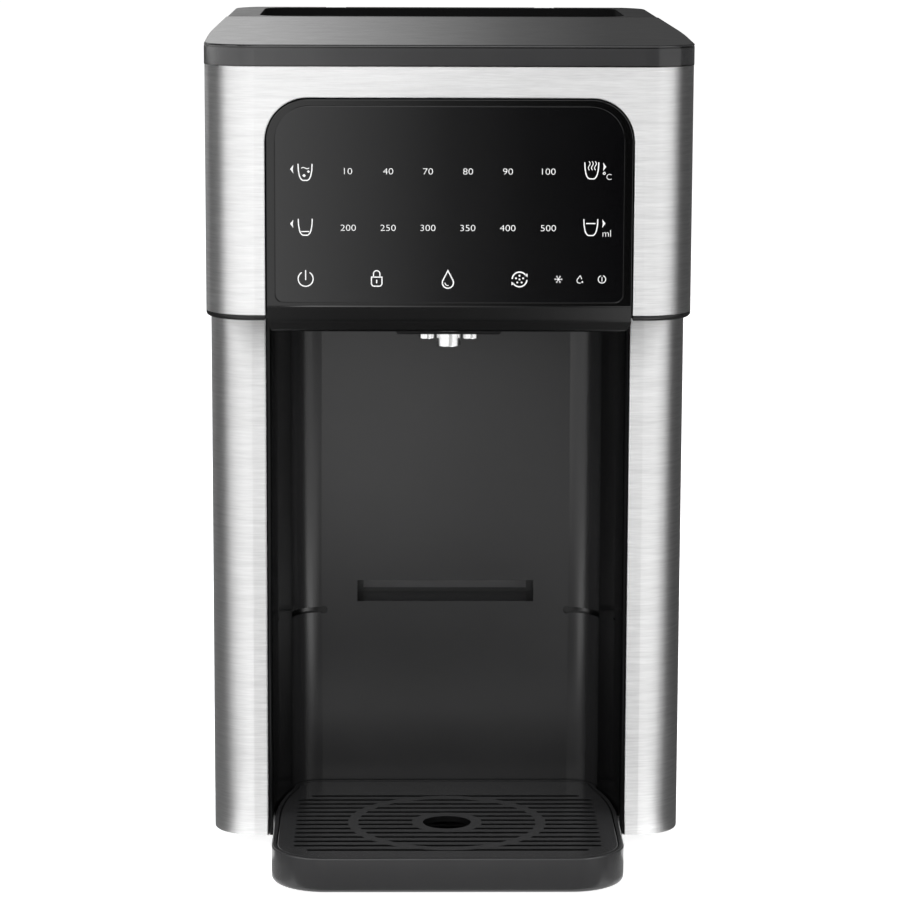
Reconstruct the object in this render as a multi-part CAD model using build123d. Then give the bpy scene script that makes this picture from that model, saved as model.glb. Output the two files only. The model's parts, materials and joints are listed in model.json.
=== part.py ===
from build123d import *
import os
from math import sin, cos, tan, acos, pi, radians

# Countertop water dispenser: hot and cold water from a rear lift-off tank,
# a projecting head with a touch panel, a cup alcove and a pull-out drip tray.
# Frame: origin at the bottom centre of the bounding box, -Y front, +X right
# as seen from the front, +Z up.  All sizes in millimetres.

# ---------------------------------------------------------------- driving dimensions
HEAD_W = 228.8          # width of the steel head at its front corners
FLARE_X = 117.4         # half width of the head towards the rear
FLARE_Y, FLARE_R = -72.0, 2600.0   # where and how gently its sides turn in
TOP_Z = 396.0           # overall height
TRAY_Y = -225.0         # front of the drip tray
HEAD_Y = -187.0         # front of the steel head
BODY_Y = -150.0         # front of the lower body
SEAM_Y = 97.6           # rear end of the body, where the tank begins
REAR_Y = 225.0          # rear of the tank lid
LOW_W = 229.0           # width of the lower body
COLLAR_H = 10.0         # height of the dark collar of the top cover
HEAD_Z = 269.8          # lower edge of the head's steel
TRIM_H = 2.5            # dark trim below the steel
CHIN_Z = 261.4          # lowest edge of the control fascia
LOW_Z = 7.6             # lower edge of the side panels
STEEL_T = 0.8           # steel sheet thickness
EDGE_R = 0.3            # broken outer edge of the steel sheet
HEAD_R = 24.0           # front corner radius of the head
LOW_R = 20.5            # front corner radius of the lower body
REAR_R = 28.0           # rear corner radius of the tank
FASCIA_W = 172.0        # width of the steel's opening for the control fascia
FASCIA_TOP = 371.5      # top of that opening
FASCIA_OUT = 0.3        # how far the fascia stands proud of the steel
FASCIA_GAP = 0.6        # shadow gap around the fascia
GLASS_X = 81.5          # half width of the touch glass
GLASS_Z0, GLASS_Z1 = 276.0, 367.8
ALCOVE_X = 84.9         # half width of the alcove at its mouth
ALCOVE_Y = -82.0        # rear wall of the alcove
ALCOVE_R = 15.2         # corner radius of the rear wall
SLOT_Z0, SLOT_Z1 = 110.5, 121.3   # upper tray slot
SLOT_X = 44.5           # half width of the tray slots
SPOUT_Y = -161.3        # spout axis
TRAY_Z0, TRAY_Z1 = 0.8, 17.6
TRAY_X = 84.1           # half width of the tray
GRID_PITCH = 7.4        # pitch of the grid's slots
DOCK_Z = 118.0          # shelf that carries the tank
DOCK_Y = 160.0          # tank outlet axis
LID_AX_Y, LID_AX_Z = 219.0, 390.0  # lid hinge axis
HOSE_R, HOSE_BORE, BARB_R = 4.0, 2.8, 2.7

os.makedirs("parts", exist_ok=True)


# ---------------------------------------------------------------- small helpers
def box(x0, x1, y0, y1, z0, z1):
    return Pos((x0 + x1) / 2, (y0 + y1) / 2, (z0 + z1) / 2) * Box(x1 - x0, y1 - y0, z1 - z0)


def cyl(axis, a, b, s0, s1, r):
    """Cylinder along axis from s0 to s1; a, b are the other two coordinates in x, y, z order."""
    h, m = s1 - s0, (s0 + s1) / 2
    if axis == "z":
        return Pos(a, b, m) * Cylinder(r, h)
    if axis == "y":
        return Pos(a, m, b) * Rot(90, 0, 0) * Cylinder(r, h)
    return Pos(m, a, b) * Rot(0, 90, 0) * Cylinder(r, h)


def outline(*pts):
    """Closed face on XY from corner points (x, y) or (x, y, corner radius)."""
    n = len(pts)
    P = [Vector(p[0], p[1], 0) for p in pts]
    seg = []
    for i in range(n):
        r = pts[i][2] if len(pts[i]) > 2 else 0
        a, b, c = P[i - 1], P[i], P[(i + 1) % n]
        if r <= 0:
            seg.append((b, None, b))
            continue
        u, v = (a - b).normalized(), (c - b).normalized()
        ang = acos(max(-1.0, min(1.0, u.dot(v))))
        t = r / tan(ang / 2)
        m = (u + v).normalized()
        seg.append((b + u * t, b + m * (r / sin(ang / 2) - r), b + v * t))
    edges = []
    for i in range(n):
        s, m, e = seg[i]
        if m is not None:
            edges.append(Edge.make_three_point_arc(s, m, e))
        nxt = seg[(i + 1) % n][0]
        if (nxt - e).length > 1e-6:
            edges.append(Edge.make_line(e, nxt))
    return Face(Wire(edges))


def prism_z(face, z0, z1):
    return extrude(Pos(0, 0, z0) * face, amount=z1 - z0, dir=(0, 0, 1))


def prism_y(face, y0, y1):
    """The face's x, y become X, Z."""
    return extrude(Pos(0, y0, 0) * (Plane.XZ * face), amount=y1 - y0, dir=(0, 1, 0))


def prism_x(face, x0, x1):
    """The face's x, y become Y, Z."""
    return extrude(Pos(x0, 0, 0) * (Plane.YZ * face), amount=x1 - x0, dir=(1, 0, 0))


def near_z(shape, z, tol=0.01):
    return [e for e in shape.edges() if abs(e.bounding_box().min.Z - z) < tol and abs(e.bounding_box().max.Z - z) < tol]


def near_y(shape, y, tol=0.01):
    return [e for e in shape.edges() if abs(e.bounding_box().min.Y - y) < tol and abs(e.bounding_box().max.Y - y) < tol]


def edges_at(shape, z, test):
    """Edges at height z whose middle point passes the test."""
    return [e for e in near_z(shape, z) if test(e @ 0.5)]


def mirrored(shape):
    return mirror(shape, about=Plane.YZ)


def hose(points, radii):
    """Flexible tube along straight runs joined by tangent arcs."""
    path = FilletPolyline(*points, radius=radii) if len(points) > 2 else Line(*points)
    start = path @ 0
    plane = Plane(origin=start, z_dir=path % 0)
    ring = plane * (Circle(HOSE_R) - Circle(HOSE_BORE))
    return sweep(ring, path=path)


def save(name, shape):
    solids = shape.solids()
    shape = solids[0] if len(solids) == 1 else Compound(solids)
    shape.label = name
    export_step(shape, f"parts/{name}.step")


# ---------------------------------------------------------------- head: steel wrap
HW = HEAD_W / 2
FW = FASCIA_W / 2


def head_shape(off, y_rear, y_front, r, r_rear=0):
    """Plan of the head: straight sides, gently turned in towards the rounded front corners; off moves it outwards."""
    a, b = FLARE_X + off, HW + off
    return outline((-a, y_rear, r_rear), (-a, FLARE_Y, FLARE_R), (-b, y_front, r), (b, y_front, r), (a, FLARE_Y, FLARE_R), (a, y_rear, r_rear))


head_outer = head_shape(0, SEAM_Y, HEAD_Y, HEAD_R)
head_inner = head_shape(-STEEL_T, 99, HEAD_Y + STEEL_T, HEAD_R - STEEL_T)
head_wrap = prism_z(head_outer, HEAD_Z, TOP_Z - COLLAR_H)


def on_outline(m):
    return m.Y < SEAM_Y - 0.05


head_wrap = fillet(edges_at(head_wrap, HEAD_Z, on_outline) + edges_at(head_wrap, TOP_Z - COLLAR_H, on_outline), EDGE_R)
head_wrap -= prism_z(head_inner, HEAD_Z - 1, TOP_Z)
head_wrap -= prism_y(outline((-FW, 255), (FW, 255), (FW, FASCIA_TOP, 20), (-FW, FASCIA_TOP, 20)), -190, -180)
rim = [e for e in near_y(head_wrap, HEAD_Y) if abs((e @ 0.5).X) < FW + 0.01 and HEAD_Z + 1 < (e @ 0.5).Z < FASCIA_TOP + 0.01]
head_wrap = fillet(rim, 0.6)
save("head_wrap", head_wrap)

# ---------------------------------------------------------------- head: control fascia with its chin
F_Y = HEAD_Y - FASCIA_OUT
fw, ft = FW - FASCIA_GAP, FASCIA_TOP - FASCIA_GAP
slab = prism_y(outline((-fw, CHIN_Z, 5), (fw, CHIN_Z, 5), (fw, ft, 19.4), (-fw, ft, 19.4)), F_Y, -176.3)
slab = fillet(near_y(slab, F_Y), 0.4)
chin = prism_x(outline((F_Y, 380), (F_Y, 274, 4), (F_Y + 1.7, 267.2, 6), (F_Y + 5.5, CHIN_Z, 3), (-176.3, CHIN_Z, 1.2),
                       (-176.3, 380)), -90, 90)
slab = slab & chin
front = slab & box(-90, 90, -195, -184, 255, 380)
lower = slab & box(-90, 90, -195, -170, 255, HEAD_Z - 0.05)
fascia = front + lower
gx = GLASS_X + 0.25
fascia -= prism_y(outline((-gx, GLASS_Z0 - 0.25, 4.2), (gx, GLASS_Z0 - 0.25, 4.2), (gx, GLASS_Z1 + 0.25, 16.2),
                          (-gx, GLASS_Z1 + 0.25, 16.2)), F_Y - 1, F_Y + 1.3)
fascia -= prism_y(outline((-76, 281, 3), (76, 281, 3), (76, 362.5, 11), (-76, 362.5, 11)), F_Y, -183)
screw_xz = [(-78.6, 277.5), (78.6, 277.5), (-78.6, 352), (78.6, 352)]
for x, z in screw_xz:
    fascia -= cyl("y", x, z, -185.3, -183.5, 1.25)
save("control_fascia", fascia)

glass = prism_y(outline((-GLASS_X, GLASS_Z0, 4), (GLASS_X, GLASS_Z0, 4), (GLASS_X, GLASS_Z1, 16), (-GLASS_X, GLASS_Z1, 16)),
                F_Y + 0.05, F_Y + 1.2)
glass = fillet(near_y(glass, F_Y + 0.05), 0.3)
save("touch_glass", glass)

save("key_light_guide", prism_y(outline((-75.7, 281.3, 3), (75.7, 281.3, 3), (75.7, 362.2, 10.7), (-75.7, 362.2, 10.7)),
                                -185.95, -184.05))

board = box(-81, 81, -183.9, -182.3, 272.5, 358)
for x, z, w, h, t in [(0, 305, 30, 8, 6), (-40, 320, 14, 14, 2), (30, 330, 10, 10, 2), (55, 300, 18, 6, 4), (-60, 290, 8, 12, 3),
                      (0, 340, 22, 10, 2.4)]:
    board += box(x - w / 2, x + w / 2, -182.4, -182.3 + t, z - h / 2, z + h / 2)
for x, z in screw_xz:
    board -= cyl("y", x, z, -185, -181, 1.4)
save("touch_board", board)

screws = []
for x, z in screw_xz:
    screws += (cyl("y", x, z, -185.1, -182.3, 1.15) + cyl("y", x, z, -182.3, -180.6, 2.5)).solids()
save("touch_board_screws", Compound(screws))

# ---------------------------------------------------------------- head: base plate with the dark trim edge
trim_z0 = HEAD_Z - TRIM_H - 0.1
head_base = prism_z(head_outer, trim_z0, HEAD_Z - 0.1)
head_base = fillet([e for e in near_z(head_base, trim_z0) if e.center().Y < 90], 1.9)
head_base -= box(-112.7, 112.7, 94.5, 99, 260, 275)
head_base -= box(-86.4, 86.4, -190, -176, 260, 275)
head_base -= box(-20.4, 20.4, -173, -147.6, 260, 275)
head_base -= prism_z(outline((-95, -66, 6), (95, -66, 6), (95, 88, 6), (-95, 88, 6)), 260, 275)
save("head_base", head_base)

# ---------------------------------------------------------------- head: top cover
cover = prism_z(head_shape(0.2, 97.4, HEAD_Y - 0.4, HEAD_R + 0.4, 1), TOP_Z - COLLAR_H, TOP_Z)
cover = fillet(near_z(cover, TOP_Z), 0.8)
cover -= prism_z(head_shape(-2.4, 95, -185, HEAD_R - 2), 380, TOP_Z - 2.6)
lip = prism_z(head_shape(-1.0, 95, -186, HEAD_R - 1), 380, TOP_Z - COLLAR_H + 1)
lip -= prism_z(head_shape(-3.0, 93, -184, HEAD_R - 3), 379, 390)
cover += lip
groove = prism_z(head_shape(3.0, 97.4, HEAD_Y - 4, HEAD_R + 3), TOP_Z - 1.55, TOP_Z - 0.95)
groove -= prism_z(head_shape(-0.4, 99, HEAD_Y + 0.2, HEAD_R - 0.2), TOP_Z - 2, TOP_Z)
cover -= groove
save("top_cover", cover)

# ---------------------------------------------------------------- head: nozzle block and spouts
nozzle = fillet(box(-25, 25, -174, -146, 259, trim_z0 - 0.1).edges().group_by(Axis.Z)[0], 2)
nozzle += box(-20, 20, -172.6, -148, trim_z0 - 0.3, 285)
for x in (-15, 15):
    nozzle += cyl("y", x, 279, -148.5, -137, BARB_R)
for x in (-15, 15):
    nozzle -= cyl("y", x, 279, -160.5, -136, 1.7)
    nozzle -= cyl("z", x * 10.4 / 15, SPOUT_Y, 263, 281, 1.7)
nozzle -= cyl("z", 0, SPOUT_Y, 258, 264, 5.92)
nozzle -= box(-11, 11, SPOUT_Y - 1.2, SPOUT_Y + 1.2, 264, 267)
for x in (-10.4, 10.4):
    nozzle -= cyl("z", x, SPOUT_Y, 258, 264, 3.87)
save("nozzle_block", nozzle)

spout = cyl("z", 0, SPOUT_Y, 252, 263.9, 5.9)
spout = fillet(near_z(spout, 252), 0.6) - cyl("z", 0, SPOUT_Y, 250, 265, 4.3)
save("center_spout", spout)
small = []
for x in (-10.4, 10.4):
    s = cyl("z", x, SPOUT_Y, 255.6, 263.9, 3.85)
    small += (fillet(near_z(s, 255.6), 0.5) - cyl("z", x, SPOUT_Y, 250, 265, 2.7)).solids()
save("side_spouts", Compound(small))

# ---------------------------------------------------------------- lower body: steel side panels
hx = LOW_W / 2
EDGE_X = 86.9           # steel edge at the mouth of the alcove
panel = prism_z(outline((EDGE_X, BODY_Y, 1.2), (hx, BODY_Y, LOW_R), (hx, SEAM_Y), (hx - STEEL_T, SEAM_Y),
                        (hx - STEEL_T, BODY_Y + STEEL_T, LOW_R - STEEL_T), (EDGE_X + STEEL_T, BODY_Y + STEEL_T, 0.4),
                        (EDGE_X + STEEL_T, -144), (EDGE_X, -144)), LOW_Z, trim_z0 - 0.1)


def panel_outside(m):
    a, b = m.X - (hx - LOW_R), BODY_Y + LOW_R - m.Y
    corner = a > 0 and b > 0 and abs((a * a + b * b) ** 0.5 - LOW_R) < 0.02
    return corner or abs(m.X - hx) < 0.02 or abs(m.Y - BODY_Y) < 0.02


panel = fillet(edges_at(panel, LOW_Z, panel_outside) + edges_at(panel, trim_z0 - 0.1, panel_outside), EDGE_R)
save("right_side_panel", panel)
save("left_side_panel", mirrored(panel))

# ---------------------------------------------------------------- alcove
cheek = prism_z(outline((86.75, BODY_Y - 0.4, 0.7), (ALCOVE_X, BODY_Y - 0.4, 0.7), (ALCOVE_X, -124.6, 180), (77.0, -98.9), (80, -98.9),
                        (86.75, -124)),
                LOW_Z + 0.2, trim_z0 - 0.2)
cheek += Pos(83.4, -125, 111) * Sphere(1.1)
save("alcove_cheek_right", cheek)
save("alcove_cheek_left", mirrored(cheek))

BX = 77.2               # half width of the back panel between its rounded corners
back = prism_z(outline((-BX - 3, -97.4), (-BX - 3, ALCOVE_Y + 3, ALCOVE_R + 3), (BX + 3, ALCOVE_Y + 3, ALCOVE_R + 3), (BX + 3, -97.4)), 2.6, trim_z0 - 0.2)
back -= prism_z(outline((-BX, -99), (-BX, ALCOVE_Y, ALCOVE_R), (BX, ALCOVE_Y, ALCOVE_R), (BX, -99)), 0, 300)
LOW0, LOW1 = 4.9, 15.9
for z0, z1 in ((LOW0, LOW1), (SLOT_Z0, SLOT_Z1)):
    back += box(-SLOT_X - 2, SLOT_X + 2, ALCOVE_Y + 2.5, -55, z0 - 2, z1 + 2)
for z0, z1 in ((LOW0, LOW1), (SLOT_Z0, SLOT_Z1)):
    back -= box(-SLOT_X, SLOT_X, -90, -57, z0, z1)
ring = prism_z(outline((-BX - 1.6, -96.6), (-BX - 1.6, ALCOVE_Y + 1.6, ALCOVE_R - 0.6), (BX + 1.6, ALCOVE_Y + 1.6, ALCOVE_R - 0.6), (BX + 1.6, -96.6)), 104.7, 107.5)
back -= ring & (box(-90, -62.5, -97, -70, 100, 110) + box(62.5, 90, -97, -70, 100, 110))
for x in (-61.5, 61.5):
    back -= cyl("y", x, 106.1, -84, ALCOVE_Y + 1.8, 2.0)
save("alcove_back_panel", back)

# ---------------------------------------------------------------- base plate, feet, posts, screws
POSTS = [(-101, -60), (101, -60), (-101, 85), (101, 85)]
BOSSES = [(-92, 118), (92, 118), (-92, 188), (92, 188)]
base = prism_z(outline((-112.8, -148.8, 21), (-88.2, -148.8), (-88.2, -78.4), (-48, -78.4), (-48, -52), (48, -52), (48, -78.4),
                       (88.2, -78.4), (88.2, -148.8), (112.8, -148.8, 21), (112.8, 95.5), (110.6, 97.5), (110.6, 218.4, 22), (-110.6, 218.4, 22),
                       (-110.6, 97.5), (-112.8, 95.5)), LOW_Z, LOW_Z + 3)
for i in range(8):
    base -= box(17, 77, 30 + 6.5 * i, 33 + 6.5 * i, 5, 15)
for x, y in POSTS + BOSSES:
    base -= cyl("z", x, y, 5, 15, 1.8)
save("base_plate", base)

FEET = [(-100, -112), (100, -112), (-74, 196), (74, 196)]
feet = []
for x, y in FEET:
    f = Pos(x, y, LOW_Z / 2) * Cone(8.2, 9.4, LOW_Z)
    f = fillet(near_z(f, 0), 0.9)
    feet += f.solids()
save("rubber_feet", Compound(feet))

posts = []
for x, y in POSTS:
    p = box(x - 4.5, x + 4.5, y - 4.5, y + 4.5, LOW_Z + 3, trim_z0 - 0.05) - box(x - 3.3, x + 3.3, y - 3.3, y + 3.3, 30, 260)
    p -= cyl("z", x, y, 5, 24, 1.6)
    posts += p.solids()
save("frame_posts", Compound(posts))

bscrews = []
for x, y in POSTS + BOSSES:
    s = cyl("z", x, y, 6, LOW_Z, 3.4) + cyl("z", x, y, LOW_Z - 0.1, 21, 1.5)
    s -= box(x - 2.2, x + 2.2, y - 0.4, y + 0.4, 5, 6.8) + box(x - 0.4, x + 0.4, y - 2.2, y + 2.2, 5, 6.8)
    bscrews += s.solids()
save("base_screws", Compound(bscrews))

# ---------------------------------------------------------------- rear base under the tank
RB_Y = 221.4
rear = prism_z(outline((-113.4, 98.2), (113.4, 98.2), (113.4, RB_Y, 25), (-113.4, RB_Y, 25)), LOW_Z, DOCK_Z)
rear = fillet([e for e in near_z(rear, DOCK_Z) if e.center().Y > 99], 0.6)
rear -= prism_z(outline((-110.9, 90), (110.9, 90), (110.9, RB_Y - 2.5, 22.5), (-110.9, RB_Y - 2.5, 22.5)), 0, 200)
for x in (-110, 110):
    rear += box(x - 1.4, x + 1.4, 104, 184, DOCK_Z - 5.6, DOCK_Z - 3.1)
for i in range(10):
    z = 28 + 7 * i
    rear -= prism_y(outline((20, z, 1.5), (88, z, 1.5), (88, z + 3.4, 1.5), (20, z + 3.4, 1.5)), 212, 230)
GLAND_X, GLAND_Z = -72.0, 34.0
rear -= cyl("y", GLAND_X, GLAND_Z, 210, 230, 6.6)
save("rear_base", rear)

shelf = prism_z(outline((-110.7, 98.2), (110.7, 98.2), (110.7, RB_Y - 2.7, 22.3), (-110.7, RB_Y - 2.7, 22.3)), DOCK_Z - 3, DOCK_Z)
shelf -= cyl("z", 0, DOCK_Y, 110, 130, 17.2)
for x, y in BOSSES:
    shelf += cyl("z", x, y, LOW_Z + 3.05, DOCK_Z - 2, 4.5)
    shelf -= cyl("z", x, y, 5, 26, 1.6)
save("tank_shelf", shelf)

gland = cyl("y", GLAND_X, GLAND_Z, 212, RB_Y, 6.5) + cyl("y", GLAND_X, GLAND_Z, RB_Y, 224.6, 9.5)
gland = fillet(near_y(gland, 224.6), 1.0)
gland -= cyl("y", GLAND_X, GLAND_Z, 205, 230, 3.6)
save("cord_gland", gland)

bulk = box(-112.4, 112.4, 94.8, 97.4, DOCK_Z + 0.4, 379.8) + box(-116.2, 116.2, 94.8, 97.4, HEAD_Z + 0.4, 379.8)
PCB = [(-89, 155), (-9, 155), (-89, 257), (-9, 257)]
for x, z in PCB:
    bulk += cyl("y", x, z, 89.7, 95, 3)
for x in (-100, 40, 100):
    bulk += box(x - 1, x + 1, 91.5, 95, 130, 262) + box(x - 1, x + 1, 91.5, 95, 274, 370)
save("rear_bulkhead", bulk)

# ---------------------------------------------------------------- water tank
tank = prism_z(outline((-116.4, 99.2, 6), (116.4, 99.2, 6), (116.4, 224.6, REAR_R), (-116.4, 224.6, REAR_R)), DOCK_Z + 0.6, 383.6)
tank = fillet(near_z(tank, DOCK_Z + 0.6), 1.6)
tank -= prism_z(outline((-114.0, 101.6, 4), (114.0, 101.6, 4), (114.0, 222.2, REAR_R - 2.4), (-114.0, 222.2, REAR_R - 2.4)), DOCK_Z + 3.4, 390)
tank -= cyl("z", 0, DOCK_Y, 110, 130, 11)
lug_face = outline((223, 356), (224.2, 356), (224.2, LID_AX_Z), (213.8, LID_AX_Z), (213.8, 372))
for x in (-60, 60):
    lug = prism_x(lug_face, x - 5, x + 5) + cyl("x", LID_AX_Y, LID_AX_Z, x - 5, x + 5, 5.85)
    tank += lug - cyl("x", LID_AX_Y, LID_AX_Z, x - 6, x + 6, 1.56)
save("water_tank", tank)

# ---------------------------------------------------------------- tank lid, gasket, hinge pin
lid = prism_z(outline((-117.0, 98.9, 3), (117.0, 98.9, 3), (117.0, REAR_Y, REAR_R), (-117.0, REAR_Y, REAR_R)), 384, TOP_Z)
lid = fillet(near_z(lid, TOP_Z), 0.8)
lid = lid & (box(-120, 120, 90, LID_AX_Y, 383, 397) + cyl("x", LID_AX_Y, LID_AX_Z, -120, 120, 6.0))
dish = prism_z(outline((-100, 101.9, 16), (100, 101.9, 16), (100, 210.5, 16), (-100, 210.5, 16)), 387.5, 400)
dish = fillet(near_z(dish, 387.5), 3.0)
lid -= dish
for x in (-60, 60):
    lid -= box(x - 5.6, x + 5.6, 211.8, 230, 380, 400)
lid -= cyl("x", LID_AX_Y, LID_AX_Z, -77, 120, 1.6)
save("tank_lid", lid)

gasket = prism_z(outline((-111.6, 104, 4), (111.6, 104, 4), (111.6, 209.6, 21), (-111.6, 209.6, 21)), 381, 383.95)
gasket -= prism_z(outline((-108.8, 106.8, 3), (108.8, 106.8, 3), (108.8, 206.8, 18.2), (-108.8, 206.8, 18.2)), 380, 385)
save("lid_gasket", gasket)
save("lid_hinge_pin", cyl("x", LID_AX_Y, LID_AX_Z, -76, 78, 1.52))

# ---------------------------------------------------------------- filter cartridge
filt = fillet(near_z(cyl("z", 0, DOCK_Y, 132.6, 214, 24), 214), 4) - cyl("z", 0, DOCK_Y, 130, 150, 13)
for i in range(16):
    a = 2 * pi * i / 16
    filt -= Pos(0, DOCK_Y, 0) * Rot(0, 0, 360 * i / 16) * box(22.6, 26, -1.6, 1.6, 146, 200)
filt += fillet(box(-17, 17, DOCK_Y - 3.5, DOCK_Y + 3.5, 213.5, 228).edges().filter_by(Axis.Y).group_by(Axis.Z)[-1], 5)
save("filter_cartridge", filt)

# ---------------------------------------------------------------- tank valve
vb = cyl("z", 0, DOCK_Y, 106, 121.6, 10.7) + cyl("z", 0, DOCK_Y, 121.5, 124.4, 15) + cyl("z", 0, DOCK_Y, 124.3, 132, 12.2)
vb = fillet(near_z(vb, 106), 0.8)
vb -= cyl("z", 0, DOCK_Y, 108.4, 135, 8.6)
vb -= cyl("z", 0, DOCK_Y, 100, 110, 5)
save("tank_valve_body", vb)
vc = cyl("z", 0, DOCK_Y, 121.5, 124, 8.5) - cyl("z", 0, DOCK_Y, 120, 126, 1.9)
for i in range(4):
    vc -= cyl("z", 5.3 * cos(pi / 2 * i), DOCK_Y + 5.3 * sin(pi / 2 * i), 120, 126, 1.5)
save("tank_valve_cap", vc)
pop = cyl("z", 0, DOCK_Y, 110.4, 112.5, 3) + cyl("z", 0, DOCK_Y, 112.4, 115, 7.4) + cyl("z", 0, DOCK_Y, 114.9, 128, 1.6)
save("valve_poppet", pop)
coil = Pos(0, DOCK_Y, 115.5) * Helix(pitch=1.36, height=5.44, radius=3.4)
spring = sweep(Plane(origin=coil @ 0, z_dir=coil % 0) * Circle(0.38), path=coil, is_frenet=True)
save("valve_spring", spring)
save("spigot_o_ring", Pos(0, DOCK_Y, 112) * Torus(11.5, 0.75))

dock = cyl("z", 0, DOCK_Y, 96, DOCK_Z - 0.2, 16.6) + cyl("z", 0, DOCK_Y, 111.5, DOCK_Z - 3.1, 21)
dock += cyl("x", DOCK_Y, 102, -31, -15, BARB_R)
dock -= cyl("z", 0, DOCK_Y, 99, 125, 12.6)
dock -= cyl("x", DOCK_Y, 102, -35, -11, 1.7)
dock += cyl("z", 0, DOCK_Y, 98.9, 110, 2)
save("tank_dock", dock)

# ---------------------------------------------------------------- pump
PX, PZ = -62.0, 44.0
motor = cyl("y", PX, PZ, 118, 166, 18) - cyl("y", PX, PZ, 119.6, 164.4, 16.5) - cyl("y", PX, PZ, 110, 170, 2.06)
save("pump_motor", motor)
ph = box(PX - 21, PX + 21, 166.2, 200, PZ - 21, PZ + 21) + box(PX - 18, PX + 18, 170, 196, LOW_Z + 3.05, PZ - 20.5)
for x in (-72, -52):
    ph += cyl("z", x, 185, PZ + 20.5, 77, BARB_R)
ph -= cyl("y", PX, PZ, 168, 195, 12.5) + cyl("y", PX, PZ, 160, 170, 2.4)
for x in (-72, -52):
    ph -= cyl("z", x, 185, 52, 80, 1.7)
save("pump_head", ph)
pr = cyl("y", PX, PZ, 117, 191, 2) + cyl("y", PX, PZ, 124, 158, 14.5) + cyl("y", PX + 1.6, PZ, 173, 189, 8)
save("pump_rotor", pr)

# ---------------------------------------------------------------- flow meter
FX, FY = 0.0, 190.0
fb = cyl("z", FX, FY, 14, 36, 16) + cyl("z", FX, FY, LOW_Z + 3.05, 14.1, 9)
fb -= cyl("z", FX, FY, 18, 40, 13) + cyl("z", FX, FY, 15.2, 20, 1.56)
save("flow_meter_body", fb)
fc = cyl("z", FX, FY, 36.05, 40, 16)
for x in (-8, 8):
    fc += cyl("z", x, FY, 39.5, 51, BARB_R)
for x in (-8, 8):
    fc -= cyl("z", x, FY, 30, 55, 1.7)
fc -= cyl("z", FX, FY, 35, 38.4, 1.56)
save("flow_meter_cap", fc)
fr = cyl("z", FX, FY, 18.6, 35.4, 3) + cyl("z", FX, FY, 15.6, 38, 1.5)
for i in range(6):
    fr += Pos(FX, FY, 0) * Rot(0, 0, 60 * i) * box(2, 12, -0.6, 0.6, 19.2, 34.8)
save("flow_meter_rotor", fr)

# ---------------------------------------------------------------- cold water unit
CX = 47.0
ct = box(14, 80, -39, 16, 25, 117) - box(15, 79, -38, 15, 26, 116)
for x in (35, 60):
    ct += cyl("z", x, -10, 116.5, 140, BARB_R)
for x in (35, 60):
    ct -= cyl("z", x, -10, 110, 145, 1.7)
save("cold_tank", ct)
ins = box(5, 89, -48, 24, 16, 126) + box(10, 84, -44, -36, LOW_Z + 3.05, 17) + box(10, 84, 10, 18, LOW_Z + 3.05, 17)
ins -= box(13.9, 80.1, -39.1, 16.1, 24.9, 117.1) + box(26.5, 67.5, 10, 30, 45.5, 86.5)
for x in (35, 60):
    ins -= cyl("z", x, -10, 110, 130, 3.1)
ins -= box(CX - 0.1, CX + 0.1, -60, 40, 0, 140)
save("cold_insulation", ins)
save("peltier_module", box(27, 67, 16.2, 19.9, 46, 86) + box(27.5, 66.5, 19.8, 24.1, 46.5, 85.5))
hs = box(7, 87, 24.2, 29.5, 26, 106)
for i in range(14):
    x = 7.8 + i * 5.95
    hs += box(x - 0.8, x + 0.8, 29, 58, 26, 106)
save("heat_sink", hs)
FZ = 66.0
ff = fillet(box(7, 87, 59, 79, 26, 106).edges().filter_by(Axis.Y), 4) - cyl("y", CX, FZ, 50, 90, 37.6)
for a in (45, 135, 225, 315):
    ff += Pos(CX, 0, FZ) * Rot(0, a, 0) * box(10, 39.5, 76.6, 79, -1.5, 1.5)
ff += cyl("y", CX, FZ, 76.4, 79, 14)
ff -= cyl("y", CX, FZ, 70, 78.4, 1.57)
for x, z in ((11.5, 30.5), (82.5, 30.5), (11.5, 101.5), (82.5, 101.5)):
    ff -= cyl("y", x, z, 50, 90, 2.1)
save("fan_frame", ff)
fan = fillet(near_y(cyl("y", CX, FZ, 61, 75.8, 14.5), 61), 2) + cyl("y", CX, FZ, 75.5, 78.2, 1.5)
for i in range(7):
    blade = Pos(24.6, 0, 0) * Rot(42, 0, 0) * Box(22.6, 15, 1.4)
    fan += Pos(CX, 68, FZ) * Rot(0, 360 * i / 7, 0) * blade
save("fan_rotor", fan)

# ---------------------------------------------------------------- heater
HX, HY = -70.0, -20.0
save("heater_tube", cyl("z", HX, HY, 150, 280, 15.5) - cyl("z", HX, HY, 140, 290, 14.3))
caps = []
for z0, z1, s0, s1, t0, t1 in ((138.2, 156, 149.9, 160, 126, 139), (274, 291.8, 270, 280.1, 291, 304)):
    c = cyl("z", HX, HY, z0, z1, 18) + cyl("z", HX, HY, t0, t1, BARB_R)
    c -= cyl("z", HX, HY, s0, s1, 15.6) + cyl("z", HX, HY, 120, 310, 1.7)
    caps += c.solids()
save("heater_caps", Compound(caps))
hb = box(-86, -54, 0, 1.6, LOW_Z + 3.05, 288)
for z in (180, 238):
    hb += cyl("z", HX, HY, z, z + 12, 17.4) + box(HX - 4, HX + 4, -6, 0.5, z, z + 12)
hb -= cyl("z", HX, HY, 160, 270, 15.7) + box(HX - 9, HX + 9, -50, -30, 100, 300)
save("heater_bracket", hb)

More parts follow.
